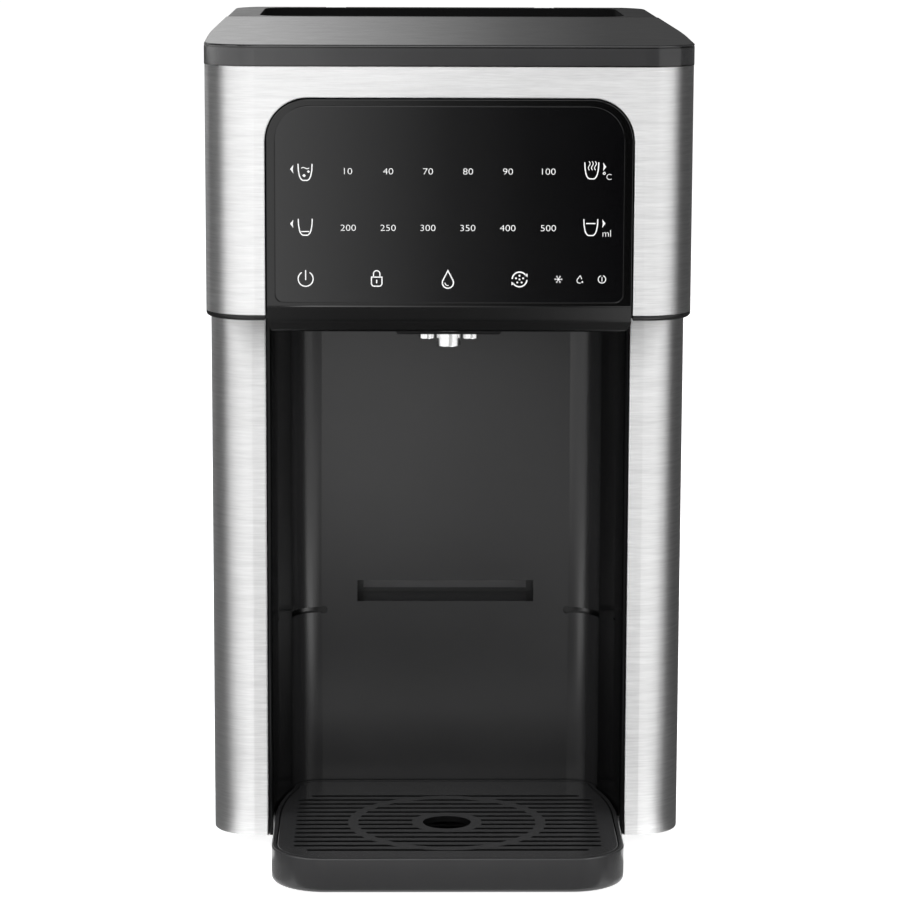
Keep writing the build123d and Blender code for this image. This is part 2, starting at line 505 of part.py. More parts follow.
# ---------------------------------------------------------------- power board
pb = box(-94, -4, 88, 89.6, 150, 262)
for x0, x1, d, z0, z1 in ((-82, -48, 28, 162, 192), (-40, -22, 18, 165, 190), (-84, -60, 16, 204, 222), (-50, -26, 16, 204, 222),
                          (-84, -20, 10, 240, 250), (-16, -8, 24, 172, 240)):
    pb += box(x0, x1, 88.1 - d, 88.1, z0, z1)
for x, z, r, d in ((-16, 160, 5, 20), (-36, 232, 6, 22), (-66, 232, 6, 22)):
    pb += cyl("y", x, z, 88.1 - d, 88.1, r)
for x, z in PCB:
    pb -= cyl("y", x, z, 80, 92, 1.6)
save("power_board", pb)

# ---------------------------------------------------------------- solenoid valves with plungers
for name, x in (("hot", -15), ("cold", 15)):
    v = box(x - 11, x + 11, -120, -100, HEAD_Z - 0.05, 290.5) + cyl("z", x, -110, 290, 322, 13)
    v += cyl("y", x, 279, -131, -119, BARB_R) + cyl("y", x, 279, -101, -88, BARB_R)
    v -= cyl("z", x, -110, 284, 318, 4.3) + cyl("y", x, 279, -135, -113, 1.7) + cyl("y", x, 279, -107, -80, 1.7)
    v -= cyl("z", x, -113.5, 277.5, 285, 1.4) + cyl("z", x, -106.5, 277.5, 285, 1.4)
    save(name + "_valve", v)
    save(name + "_valve_plunger", cyl("z", x, -110, 284.3, 311, 3.95))

# ---------------------------------------------------------------- hoses and tee
TX, TY, TZ = -20.0, 30.0, 62.0
tee = box(TX - 5, TX + 5, TY - 5, TY + 5, TZ - 5, TZ + 5) + cyl("y", TX, TZ, TY - 16, TY + 16, BARB_R) + cyl("z", TX, TY, TZ, TZ + 16, BARB_R)
tee -= cyl("y", TX, TZ, TY - 20, TY + 20, 1.7) + cyl("z", TX, TY, TZ, TZ + 20, 1.7)
save("tee_fitting", tee)

supply = [hose([(-18, DOCK_Y, 102), (-52, DOCK_Y, 102), (-52, 185, 102), (-52, 185, 66)], [10, 10]),
          hose([(-72, 185, 66), (-72, 185, 92), (-72, 209, 92), (-8, 209, 92), (-8, 190, 92), (-8, 190, 41)], [9, 9, 8, 8]),
          hose([(8, 190, 41), (8, 190, 66), (8, 140, TZ), (TX, 105, TZ), (TX, TY + 6, TZ)], [10, 14, 14])]
save("supply_hoses", Compound([s for h in supply for s in h.solids()]))
hot = [hose([(TX, TY - 6, TZ), (TX, HY, TZ), (HX, HY, TZ), (HX, HY, 137)], [12, 12]),
       hose([(HX, HY, 293), (HX, HY, 330), (-15, HY, 330), (-15, -56, 330), (-15, -56, 279), (-15, -99, 279)], [14, 14, 14, 14])]
hot.append(cyl("y", -15, 279, -147.5, -120.5, HOSE_R) - cyl("y", -15, 279, -150, -118, HOSE_BORE))
cold = [hose([(TX, TY, TZ + 6), (TX, TY, 160), (35, TY, 160), (35, -10, 160), (35, -10, 127)], [14, 14, 14]),
        hose([(60, -10, 127), (60, -10, 279), (15, -56, 279), (15, -99, 279)], [20, 20])]
cold.append(cyl("y", 15, 279, -147.5, -120.5, HOSE_R) - cyl("y", 15, 279, -150, -118, HOSE_BORE))
save("outlet_hoses", Compound([s for h in hot + cold for s in h.solids()]))

# ---------------------------------------------------------------- drip tray
def tray_outline(w, yf, rf, ys, rs, w2, y2, w3, y3, r3):
    """Rounded front, straight sides, then the alcove's cheeks and rear corners followed inwards."""
    return outline((-w, yf, rf), (w, yf, rf), (w, ys, rs), (w2, y2), (w3, y3, r3), (-w3, y3, r3), (-w2, y2), (-w, ys, rs))


tray = prism_z(tray_outline(TRAY_X, TRAY_Y, 26, -124.8, 181, 76.7, -98.4, 76.2, -82.8, 14.2), TRAY_Z0, TRAY_Z1)
tray = fillet(near_z(tray, TRAY_Z0), 2.0)
tray = fillet(near_z(tray, TRAY_Z1), 0.7)
tray -= prism_z(tray_outline(TRAY_X - 2.2, TRAY_Y + 2.2, 23.8, -124.6, 178, 74.5, -98.2, 74, -85, 12), 14.3, 20)
tray -= prism_z(tray_outline(TRAY_X - 4.8, TRAY_Y + 4.8, 21.2, -124.4, 176, 71.9, -98, 71.4, -87.6, 9.6), 3.0, 16)
tongue = box(-43.6, 43.6, -83.5, -60.5, 5.4, 15.4) - box(-41.4, 41.4, -81, -62.7, 4, 13.2)
tray += tongue
save("drip_tray", tray)

# ---------------------------------------------------------------- drip grid
grid = prism_z(tray_outline(TRAY_X - 2.7, TRAY_Y + 2.7, 23.3, -124.6, 178, 74, -98.2, 73.5, -85.5, 11.5), 14.4, 17.4)
grid = fillet(near_z(grid, 17.4), 0.5)
rows = []
for i in range(14):
    y = SPOUT_Y + GRID_PITCH * (i - 6.5)
    hw = 67.0 if i in (0, 13) else 73.6
    rows.append(outline((-hw, y - 1.8, 1.7), (hw, y - 1.8, 1.7), (hw, y + 1.8, 1.7), (-hw, y + 1.8, 1.7)))
slots = prism_z(rows[0], 10, 20)
for r in rows[1:]:
    slots += prism_z(r, 10, 20)
slots -= cyl("z", 0, SPOUT_Y, 5, 25, 48.2) - cyl("z", 0, SPOUT_Y, 5, 25, 43.2)
slots -= cyl("z", 0, SPOUT_Y, 5, 25, 17.2)
hole = cyl("z", 0, SPOUT_Y, 10, 20, 11.7)
grid -= slots
grid -= hole
save("drip_grid", grid)
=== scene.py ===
import bpy
import json
import math
from mathutils import Matrix, Vector


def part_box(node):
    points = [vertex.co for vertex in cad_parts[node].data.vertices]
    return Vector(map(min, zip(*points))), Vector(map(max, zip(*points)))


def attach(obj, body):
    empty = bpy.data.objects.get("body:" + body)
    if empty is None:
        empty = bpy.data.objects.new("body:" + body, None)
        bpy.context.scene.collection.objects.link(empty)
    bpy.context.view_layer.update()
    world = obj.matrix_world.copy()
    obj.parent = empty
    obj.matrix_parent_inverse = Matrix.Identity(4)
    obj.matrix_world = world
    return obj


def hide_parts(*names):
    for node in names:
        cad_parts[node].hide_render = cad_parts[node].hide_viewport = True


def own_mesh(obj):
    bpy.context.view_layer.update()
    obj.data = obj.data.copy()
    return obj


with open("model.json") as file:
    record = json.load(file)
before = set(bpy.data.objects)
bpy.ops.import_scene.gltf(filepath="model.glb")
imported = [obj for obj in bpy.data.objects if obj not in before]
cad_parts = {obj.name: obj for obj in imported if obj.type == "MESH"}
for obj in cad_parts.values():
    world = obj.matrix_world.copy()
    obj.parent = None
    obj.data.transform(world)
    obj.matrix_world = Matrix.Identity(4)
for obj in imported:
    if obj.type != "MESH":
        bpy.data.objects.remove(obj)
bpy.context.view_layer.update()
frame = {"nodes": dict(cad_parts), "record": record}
scene = bpy.context.scene
MM = 0.001


# ------------------------------------------------------------------ node helpers
def new_mat(name):
    m = bpy.data.materials.new(name)
    m.use_nodes = True
    nt = m.node_tree
    nt.nodes.clear()
    out = nt.nodes.new("ShaderNodeOutputMaterial")
    bsdf = nt.nodes.new("ShaderNodeBsdfPrincipled")
    nt.links.new(bsdf.outputs["BSDF"], out.inputs["Surface"])
    return m, nt, bsdf


def coords(nt, scale, loc=(0, 0, 0)):
    tc = nt.nodes.new("ShaderNodeTexCoord")
    mp = nt.nodes.new("ShaderNodeMapping")
    mp.inputs["Scale"].default_value = scale
    mp.inputs["Location"].default_value = loc
    nt.links.new(tc.outputs["Object"], mp.inputs["Vector"])
    return mp.outputs["Vector"]


def noise(nt, vec, scale=1.0, detail=2.0, rough=0.5):
    n = nt.nodes.new("ShaderNodeTexNoise")
    n.inputs["Scale"].default_value = scale
    n.inputs["Detail"].default_value = detail
    n.inputs["Roughness"].default_value = rough
    nt.links.new(vec, n.inputs["Vector"])
    return n.outputs["Fac"]


def ramp(nt, fac, stops):
    r = nt.nodes.new("ShaderNodeValToRGB")
    e = r.color_ramp.elements
    while len(e) < len(stops):
        e.new(0.5)
    for k, (p, c) in zip(e, stops):
        k.position = p
        k.color = (c[0], c[1], c[2], 1.0) if hasattr(c, "__len__") else (c, c, c, 1.0)
    nt.links.new(fac, r.inputs["Fac"])
    return r.outputs["Color"]


def remap(nt, val, lo, hi, a=0.3, b=0.7):
    r = nt.nodes.new("ShaderNodeMapRange")
    r.inputs["From Min"].default_value = a
    r.inputs["From Max"].default_value = b
    r.inputs["To Min"].default_value = lo
    r.inputs["To Max"].default_value = hi
    nt.links.new(val, r.inputs["Value"])
    return r.outputs["Result"]


def bump(nt, height, strength, dist, bsdf):
    b = nt.nodes.new("ShaderNodeBump")
    b.inputs["Strength"].default_value = strength
    b.inputs["Distance"].default_value = dist
    nt.links.new(height, b.inputs["Height"])
    nt.links.new(b.outputs["Normal"], bsdf.inputs["Normal"])


def moulded(name, dark, light, r0, r1, grain=2600.0, gstr=0.12, spec=0.5, cloud=14.0):
    """Moulded plastic: slow cloudy tone, fine grain in the bump and in the gloss."""
    m, nt, b = new_mat(name)
    v = coords(nt, (1, 1, 1))
    slow = noise(nt, v, cloud, 3, 0.55)
    fine = noise(nt, v, grain, 2, 0.5)
    nt.links.new(ramp(nt, slow, [(0.3, dark), (0.7, light)]), b.inputs["Base Color"])
    nt.links.new(remap(nt, noise(nt, v, cloud * 6, 3, 0.6), r0, r1), b.inputs["Roughness"])
    b.inputs["Specular IOR Level"].default_value = spec
    bump(nt, fine, gstr, 0.00006, b)
    return m


def brushed(name, dark, light, r0, r1, strength=0.10):
    """Steel brushed level: short thin strokes that run round the body, over longer faint ones."""
    m, nt, b = new_mat(name)
    fine = noise(nt, coords(nt, (95, 95, 1500)), 1.0, 2, 0.55)
    wide = noise(nt, coords(nt, (36, 36, 620), (3, 1, 7)), 1.0, 3, 0.6)
    mix = nt.nodes.new("ShaderNodeMix")
    mix.data_type = "FLOAT"
    mix.inputs["Factor"].default_value = 0.5
    nt.links.new(fine, mix.inputs["A"])
    nt.links.new(wide, mix.inputs["B"])
    nt.links.new(ramp(nt, mix.outputs["Result"], [(0.34, dark), (0.66, light)]), b.inputs["Base Color"])
    nt.links.new(remap(nt, fine, r0, r1), b.inputs["Roughness"])
    b.inputs["Metallic"].default_value = 1.0
    b.inputs["Anisotropic"].default_value = 0.95
    b.inputs["Anisotropic Rotation"].default_value = 0.25
    tan = nt.nodes.new("ShaderNodeTangent")
    tan.direction_type = "RADIAL"
    tan.axis = "Z"
    nt.links.new(tan.outputs["Tangent"], b.inputs["Tangent"])
    bump(nt, fine, strength, 0.00003, b)
    return m


def metal(name, dark, light, r0, r1, scale=60.0, fine=900.0, gstr=0.06):
    m, nt, b = new_mat(name)
    v = coords(nt, (1, 1, 1))
    nt.links.new(ramp(nt, noise(nt, v, scale, 3, 0.55), [(0.3, dark), (0.7, light)]), b.inputs["Base Color"])
    nt.links.new(remap(nt, noise(nt, v, scale * 3, 3, 0.6), r0, r1), b.inputs["Roughness"])
    b.inputs["Metallic"].default_value = 1.0
    bump(nt, noise(nt, v, fine, 2, 0.5), gstr, 0.00004, b)
    return m


def clear(name, tint0, tint1, rough, weight, ior=1.49):
    m, nt, b = new_mat(name)
    v = coords(nt, (1, 1, 1))
    nt.links.new(ramp(nt, noise(nt, v, 9, 2, 0.5), [(0.3, tint0), (0.7, tint1)]), b.inputs["Base Color"])
    nt.links.new(remap(nt, noise(nt, v, 120, 2, 0.5), rough, rough * 1.8), b.inputs["Roughness"])
    b.inputs["Transmission Weight"].default_value = weight
    b.inputs["IOR"].default_value = ior
    return m


def board(name):
    m, nt, b = new_mat(name)
    v = coords(nt, (1, 1, 1))
    vor = nt.nodes.new("ShaderNodeTexVoronoi")
    vor.inputs["Scale"].default_value = 160
    nt.links.new(v, vor.inputs["Vector"])
    nt.links.new(ramp(nt, vor.outputs["Distance"], [(0.0, (0.10, 0.22, 0.09)), (0.12, (0.015, 0.085, 0.035)), (0.8, (0.02, 0.11, 0.045))]),
                 b.inputs["Base Color"])
    nt.links.new(remap(nt, noise(nt, v, 300, 2, 0.5), 0.32, 0.5), b.inputs["Roughness"])
    return m


MATS = {
    "brushed_steel": brushed("brushed_steel", 0.66, 0.84, 0.42, 0.50),
    "gloss_black": moulded("gloss_black", (0.0028, 0.0028, 0.003), (0.0038, 0.0038, 0.004), 0.14, 0.19, 1200, 0.01, 0.28),
    "panel_glass": moulded("panel_glass", (0.0014, 0.0014, 0.0016), (0.0020, 0.0020, 0.0022), 0.035, 0.06, 1200, 0.004),
    "diffuser": moulded("diffuser", (0.72, 0.72, 0.70), (0.82, 0.82, 0.80), 0.35, 0.45, 1800, 0.05),
    "circuit_board": board("circuit_board"),
    "zinc_steel": metal("zinc_steel", 0.50, 0.66, 0.28, 0.42),
    "charcoal_plastic": moulded("charcoal_plastic", (0.017, 0.017, 0.0175), (0.021, 0.021, 0.0215), 0.28, 0.34, 2600, 0.06, 0.42),
    "satin_black": moulded("satin_black", (0.021, 0.021, 0.0215), (0.026, 0.026, 0.0265), 0.36, 0.46, 2600, 0.08),
    "chrome": metal("chrome", 0.90, 0.96, 0.24, 0.271, 40, 500, 0.01),
    "rubber": moulded("rubber", (0.018, 0.018, 0.018), (0.03, 0.03, 0.03), 0.6, 0.8, 1500, 0.25),
    "aluminium": metal("aluminium", 0.66, 0.80, 0.30, 0.44),
    "smoke_clear": clear("smoke_clear", (0.33, 0.34, 0.36), (0.42, 0.43, 0.45), 0.05, 0.92),
    "silicone": moulded("silicone", (0.58, 0.58, 0.56), (0.70, 0.70, 0.68), 0.42, 0.55, 1500, 0.1),
    "white_plastic": moulded("white_plastic", (0.68, 0.68, 0.66), (0.77, 0.77, 0.75), 0.34, 0.46, 2400, 0.08),
    "foam": moulded("foam", (0.035, 0.035, 0.038), (0.08, 0.08, 0.085), 0.8, 0.95, 700, 0.6),
    "ceramic_white": moulded("ceramic_white", (0.78, 0.78, 0.75), (0.86, 0.86, 0.83), 0.29, 0.4, 2000, 0.06),
}
slot_of = {s["node"]: s["material_slot"] for s in frame["record"]["subparts"]}


def calc(nt, op, a, b=None):
    """A math node; a and b are sockets or numbers."""
    k = nt.nodes.new("ShaderNodeMath")
    k.operation = op
    for i, v in enumerate((a, b)):
        if v is None:
            continue
        if hasattr(v, "is_linked"):
            nt.links.new(v, k.inputs[i])
        else:
            k.inputs[i].default_value = v
    return k.outputs[0]


def inside(nt, x=None, y=None, z=None):
    """1 where |X|, Y and Z of the object's own coordinates (metres) lie in the given ranges, otherwise 0."""
    sep = nt.nodes.new("ShaderNodeSeparateXYZ")
    nt.links.new(coords(nt, (1, 1, 1)), sep.inputs["Vector"])
    out = None
    for rng, sock in ((x, calc(nt, "ABSOLUTE", sep.outputs["X"])), (y, sep.outputs["Y"]), (z, sep.outputs["Z"])):
        if rng is None:
            continue
        for op, lim in zip(("GREATER_THAN", "LESS_THAN"), rng):
            k = calc(nt, op, sock, lim)
            out = k if out is None else calc(nt, "MULTIPLY", out, k)
    return out


def two_tone(nt, mask, a, b):
    mix = nt.nodes.new("ShaderNodeMix")
    mix.data_type = "RGBA"
    nt.links.new(mask, mix.inputs["Factor"])
    nt.links.new(a, mix.inputs["A"])
    nt.links.new(b, mix.inputs["B"])
    return mix.outputs["Result"]


def tone(nt, scale, dark, light):
    """A slow cloudy grey between two levels."""
    return ramp(nt, noise(nt, coords(nt, (1, 1, 1)), scale, 3, 0.55), [(0.3, (dark, dark, dark * 1.03)), (0.7, (light, light, light * 1.03))])


def part_mat(name, colour, rough, spec, grain=0.05):
    """Moulded plastic whose colour and gloss are given as functions of the node tree."""
    m, nt, b = new_mat(name)
    nt.links.new(colour(nt), b.inputs["Base Color"])
    nt.links.new(rough(nt), b.inputs["Roughness"])
    b.inputs["Specular IOR Level"].default_value = spec
    bump(nt, noise(nt, coords(nt, (1, 1, 1)), 2600, 2, 0.5), grain, 0.00005, b)
    return m


def gloss(nt, r0, r1):
    return remap(nt, noise(nt, coords(nt, (1, 1, 1)), 84, 3, 0.6), r0, r1)


# the dish recess in the lid, where the colour is painted near black as shade
def dish_painted_shade_mask(nt):
    return inside(nt, (-1, 0.1002), (0.1017, 0.2107), (0, 0.39575))


def wall_painted_light_and_shade(nt):
    """Satin black, with painted light and shade: the back of the tray slot painted lighter, the slot's sides, top and
    floor painted dark as shade, the two corner slits and their end holes painted black as shade, and the front edge of
    the panel beside the cheeks painted black as shade.
    """
    black = tone(nt, 60, 0.0012, 0.0018)
    # painted shade: the tray slot's sides, top and floor darker than the wall
    c = two_tone(nt, inside(nt, (-1, 0.0447), (-0.0819, 1), (0.109, 0.1225)), tone(nt, 14, 0.0125, 0.0148), tone(nt, 40, 0.006, 0.008))
    # painted light: the back of the tray slot painted much lighter than the wall
    c = two_tone(nt, inside(nt, (-1, 0.0416), (-0.0819, 1), (0.1124, 0.1222)), c, tone(nt, 40, 0.105, 0.115))
    # painted shade: the two corner slits painted black
    c = two_tone(nt, inside(nt, (0.0624, 1), None, (0.10465, 0.10755)), c, black)
    # painted shade: the end holes of the slits painted black
    c = two_tone(nt, inside(nt, (0.0590, 0.0640), (-0.0819, 1), (0.1035, 0.1087)), c, black)
    # painted shade: the panel's front edge beside the cheeks painted black
    return two_tone(nt, inside(nt, (0.07725, 1), (-1, -0.0960), None), c, black)


def cover_painted_shade(nt):
    """Charcoal, with painted shade: a black line painted in the groove under the deck's edge and another painted as the
    shadow gap in the seam above the steel.
    """
    black = tone(nt, 60, 0.0012, 0.0018)
    # painted shade: black band in the groove under the deck's edge
    c = two_tone(nt, inside(nt, None, None, (0.39441, 0.39509)), tone(nt, 14, 0.017, 0.021), black)
    # painted shade: black band as the shadow gap at the seam above the steel
    return two_tone(nt, inside(nt, None, None, (0.3855, 0.38655)), c, black)


LID_SPEC = 0.2
OWN = {
    # painted shade: the left side panel is a darker copy of the brushed steel
    "left_side_panel": brushed("panel_steel_left_shaded", 0.605, 0.77, 0.42, 0.50),
    # painted shade: the dish in the lid painted near black
    "tank_lid": part_mat("lid_plastic_painted_shade", lambda nt: two_tone(nt, dish_painted_shade_mask(nt), tone(nt, 14, 0.017, 0.021), tone(nt, 60, 0.0016, 0.0024)),
                         lambda nt: calc(nt, "MAXIMUM", gloss(nt, 0.28, 0.34), calc(nt, "MULTIPLY", dish_painted_shade_mask(nt), 1.0)), LID_SPEC),
    "control_fascia": part_mat("fascia_black", lambda nt: tone(nt, 14, 0.0014, 0.0020),
                               lambda nt: calc(nt, "MAXIMUM", gloss(nt, 0.04, 0.065), calc(nt, "MULTIPLY", inside(nt, None, None, (0, 0.2738)), 0.24)), 0.43, 0.002),
    "head_base": moulded("trim_black", (0.0050, 0.0050, 0.0052), (0.0064, 0.0064, 0.0066), 0.24, 0.271, 2600, 0.02, 0.35),
    "nozzle_block": moulded("nozzle_black", (0.0040, 0.0040, 0.0042), (0.0052, 0.0052, 0.0054), 0.34, 0.42, 2600, 0.04, 0.35),
    "top_cover": part_mat("cover_plastic_painted_shade", cover_painted_shade, lambda nt: gloss(nt, 0.14, 0.17), 0.5, 0.004),
    "alcove_cheek_left": moulded("cheek_black", (0.0024, 0.0024, 0.0026), (0.0032, 0.0032, 0.0034), 0.12, 0.18, 1200, 0.01, 0.14),
    # painted shade: the right cheek is a slightly darker copy of the left cheek's black
    "alcove_cheek_right": moulded("cheek_black_right_shaded", (0.0022, 0.0022, 0.0024), (0.0029, 0.0029, 0.0031), 0.12, 0.18, 1200, 0.01, 0.035),
    "alcove_back_panel": part_mat("alcove_wall_painted_light_and_shade", wall_painted_light_and_shade, lambda nt: gloss(nt, 0.25, 0.271), 0.46, 0.002),
    "drip_tray": part_mat("tray_plastic", lambda nt: tone(nt, 14, 0.021, 0.024), lambda nt: gloss(nt, 0.24, 0.271), 0.42, 0.004),
    # painted shade: everything of the grid below its top face, the slots' insides, painted near black
    "drip_grid": part_mat("grid_plastic_painted_shade", lambda nt: two_tone(nt, inside(nt, None, None, (0, 0.01715)), tone(nt, 14, 0.026, 0.031), tone(nt, 60, 0.003, 0.004)),
                          lambda nt: gloss(nt, 0.24, 0.271), 0.45, 0.004),
}
for name, obj in frame["nodes"].items():
    obj.data.materials.clear()
    obj.data.materials.append(OWN.get(name) or MATS[slot_of[name]])

# a copy of the valve spring with its own mesh, carried by the tank body, in place of the hidden original
coil = bpy.data.objects.new("valve_spring_coil", frame["nodes"]["valve_spring"].data.copy())
scene.collection.objects.link(coil)
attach(coil, "tank")
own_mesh(coil)
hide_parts("valve_spring")


# ------------------------------------------------------------------ panel legends: printed strokes on the glass
GLASS_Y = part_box("touch_glass")[0].y / MM
LEG_Y0, LEG_Y1 = GLASS_Y - 0.035, GLASS_Y + 0.05


class Pen:
    """Collects flat printed strokes in the panel's plane, x and z in millimetres."""

    def __init__(self):
        self.verts, self.faces = [], []

    def poly(self, pts):
        """A filled outline, extruded between the two planes; pts run anticlockwise seen from the front."""
        n, k = len(pts), len(self.verts)
        for y in (LEG_Y0, LEG_Y1):
            self.verts += [(x * MM, y * MM, z * MM) for x, z in pts]
        self.faces.append(tuple(range(k, k + n)))
        self.faces.append(tuple(reversed(range(k + n, k + 2 * n))))
        for i in range(n):
            j = (i + 1) % n
            self.faces.append((k + j, k + i, k + n + i, k + n + j))

    def line(self, pts, w=0.62, closed=False):
        """A stroke of width w along pts with round ends."""
        p = [Vector((a, b)) for a, b in pts]
        q = [p[0]]
        for a in p[1:]:
            if (a - q[-1]).length > 1e-4:
                q.append(a)
        if closed and (q[0] - q[-1]).length < 1e-4:
            q.pop()
        n, h = len(q), w / 2
        left, right = [], []
        for i in range(n):
            a = q[i - 1] if (i > 0 or closed) else None
            c = q[(i + 1) % n] if (i < n - 1 or closed) else None
            d0 = (q[i] - a).normalized() if a is not None else None
            d1 = (c - q[i]).normalized() if c is not None else None
            d0, d1 = d0 or d1, d1 or d0
            t = (d0 + d1)
            t = t.normalized() if t.length > 1e-6 else d1
            nrm = Vector((-t.y, t.x))
            s = h / max(0.5, nrm.dot(Vector((-d1.y, d1.x))))
            left.append(q[i] + nrm * s)
            right.append(q[i] - nrm * s)
        if closed:
            self.ring(left, right)
            return
        d = (q[-1] - q[-2]).normalized()
        cap1 = [q[-1] + Matrix.Rotation(math.radians(a), 2) @ (d * h) for a in (-60, -30, 0, 30, 60)]
        d = (q[0] - q[1]).normalized()
        cap0 = [q[0] + Matrix.Rotation(math.radians(a), 2) @ (d * h) for a in (-60, -30, 0, 30, 60)]
        self.poly([tuple(v) for v in right + cap1 + left[::-1] + cap0])

    def ring(self, left, right):
        n = len(left)
        for i in range(n):
            j = (i + 1) % n
            self.quad(right[i], right[j], left[j], left[i])

    def quad(self, a, b, c, d):
        self.poly([tuple(a), tuple(b), tuple(c), tuple(d)])

    def dot(self, x, z, r, n=20):
        self.poly([(x + r * math.cos(2 * math.pi * i / n), z + r * math.sin(2 * math.pi * i / n)) for i in range(n)])

    def make(self, name, mat):
        me = bpy.data.meshes.new(name)
        me.from_pydata(self.verts, [], self.faces)
        me.validate()
        me.update()
        o = bpy.data.objects.new(name, me)
        scene.collection.objects.link(o)
        me.materials.append(mat)
        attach(o, "housing")
        return o


def arc(cx, cz, r, a0, a1, n=24):
    return [(cx + r * math.cos(math.radians(a0 + (a1 - a0) * i / n)), cz + r * math.sin(math.radians(a0 + (a1 - a0) * i / n)))
            for i in range(n + 1)]


def cup(pen, x, z):
    """An open tumbler, 6.5 mm wide at the rim and 7.5 mm high, standing on z - 3.75."""
    w, h, wb, r = 3.25, 3.75, 2.5, 1.5
    side = [(-w, h), (-w + 0.12, 1.0), (-wb - 0.15, -1.5)]
    foot = [(-wb + 0.25, -2.55), (-wb + 0.8, -3.3), (-wb + 1.45, -3.72)]
    pts = side + foot
    pts = pts + [(-a, b) for a, b in reversed(pts)]
    pen.line([(x + a, z + b) for a, b in pts], 0.52)


def arrow(pen, x, z, s):
    pen.poly([(x - s * 0.75, z), (x + s * 0.75, z - 1.95), (x + s * 0.45, z), (x + s * 0.75, z + 1.95)][::1 if s > 0 else -1])


def wave(x0, z0, x1, z1, amp, n=16, turns=1.0):
    d = Vector((x1 - x0, z1 - z0))
    nrm = Vector((-d.y, d.x)).normalized()
    out = []
    for i in range(n + 1):
        t = i / n
        p = Vector((x0, z0)) + d * t + nrm * (amp * math.sin(2 * math.pi * turns * t))
        out.append((p.x, p.y))
    return out


def drop(pen, x, z, r, tip, w):
    """Outline of a drop: a round bottom of radius r at (x, z), pointed at z + tip."""
    a = math.degrees(math.asin(r / tip))
    pts = arc(x, z, r, 180 - a, 360 + a, 28)
    pts.append((x, z + tip))
    pen.line(pts, w, closed=True)


def make_legend_mat():
    m, nt, b = new_mat("legend_print")
    v = coords(nt, (1, 1, 1))
    nt.links.new(ramp(nt, noise(nt, v, 900, 2, 0.5), [(0.3, (0.50, 0.50, 0.50)), (0.7, (0.57, 0.57, 0.57))]), b.inputs["Base Color"])
    nt.links.new(remap(nt, noise(nt, v, 400, 2, 0.5), 0.35, 0.5), b.inputs["Roughness"])
    b.inputs["Emission Color"].default_value = (1, 1, 1, 1)
    b.inputs["Emission Strength"].default_value = 0.14
    return m


LEGEND = make_legend_mat()
COLS = [-47.3, -28.7, -10.1, 8.5, 27.1, 46.1]
ROW1, ROW2, ROW3 = 337.5, 311.1, 287.0

icons = Pen()
# upper left: cup with ice
cup(icons, -67.3, 336.9)
icons.line(wave(-69.0, 338.9, -65.5, 338.9, 0.28, 14, 1.0), 0.38)
icons.poly([(-68.6, 335.4), (-67.7, 334.6), (-66.9, 335.4), (-67.8, 336.2)])
icons.poly([(-66.5, 337.3), (-65.7, 336.6), (-65.0, 337.3), (-65.8, 337.9)])
arrow(icons, -73.5, 338.4, 1)
# lower left: cup with a little water
cup(icons, -67.3, 311.3)
icons.line([(-69.0, 309.3), (-65.6, 309.3)], 0.48)
arrow(icons, -73.6, 312.9, 1)
# upper right: cup with steam
cup(icons, 66.1, 337.9)
for dx in (-1.45, 0.0, 1.45):
    icons.line(wave(66.1 + dx + 0.25, 342.2, 66.1 + dx + 0.25, 338.3, 0.42, 16, 1.0), 0.34)
arrow(icons, 72.1, 339.8, -1)
# lower right: full cup
cup(icons, 65.9, 311.4)
icons.line([(63.9, 313.3), (67.9, 313.3)], 0.48)
arrow(icons, 72.0, 313.3, -1)
# bottom row: power, lock, drop, circulation
icons.line(arc(-67.2, 287.1, 3.5, 125, 415, 40), 0.52)
icons.line([(-67.2, 291.0), (-67.2, 286.7)], 0.50)
lx, lz = -34.0, 287.0
icons.line([(lx - 2.45, lz + 1.0), (lx + 2.45, lz + 1.0), (lx + 2.45, lz - 2.3), (lx + 1.9, lz - 3.1), (lx + 1.3, lz - 3.3), (lx - 1.3, lz - 3.3),
            (lx - 1.9, lz - 3.1), (lx - 2.45, lz - 2.3)], 0.52, closed=True)
icons.line([(lx - 1.5, lz + 1.2), (lx - 1.5, lz + 2.5)] + arc(lx, lz + 2.5, 1.5, 180, 0, 16) + [(lx + 1.5, lz + 1.2)], 0.50)
icons.line([(lx, lz - 0.5), (lx, lz - 1.7)], 0.55)
drop(icons, -0.7, 285.4, 2.6, 5.7, 0.56)
icons.line(arc(-0.7, 285.4, 1.35, 185, 275, 10), 0.38)
cx, cz = 32.8, 287.0
icons.line(arc(cx, cz, 3.45, 32, 172, 24), 0.6)
icons.line(arc(cx, cz, 3.45, 212, 352, 24), 0.6)
icons.poly([(cx + 2.3, cz + 2.05), (cx + 3.75, cz + 1.1), (cx + 3.7, cz + 2.75)])
icons.poly([(cx - 2.3, cz - 2.05), (cx - 3.75, cz - 1.1), (cx - 3.7, cz - 2.75)])
icons.dot(cx, cz, 0.44)
for i in range(5):
    a = math.radians(90 + 72 * i)
    icons.dot(cx + 1.75 * math.cos(a), cz + 1.75 * math.sin(a), 0.44)
# small status symbols
sx, sz = 51.0, 287.1
icons.dot(sx, sz, 0.5)
for i in range(6):
    a = math.radians(60 * i)
    icons.line([(sx + 0.5 * math.cos(a), sz + 0.5 * math.sin(a)), (sx + 1.6 * math.cos(a), sz + 1.6 * math.sin(a))], 0.30)
    icons.dot(sx + 1.5 * math.cos(a), sz + 1.5 * math.sin(a), 0.34)
icons.line([(61.2, 288.9)] + arc(60.9, 286.5, 1.2, 160, 290, 12), 0.34)
icons.line([(61.2, 288.9), (61.9, 287.3)], 0.34)
icons.dot(62.2, 285.8, 0.4)
icons.line(arc(71.4, 287.1, 1.75, 112, 428, 30), 0.36)
icons.line([(71.4, 288.0), (71.4, 286.2)], 0.34)
icons.make("panel_symbols", LEGEND)


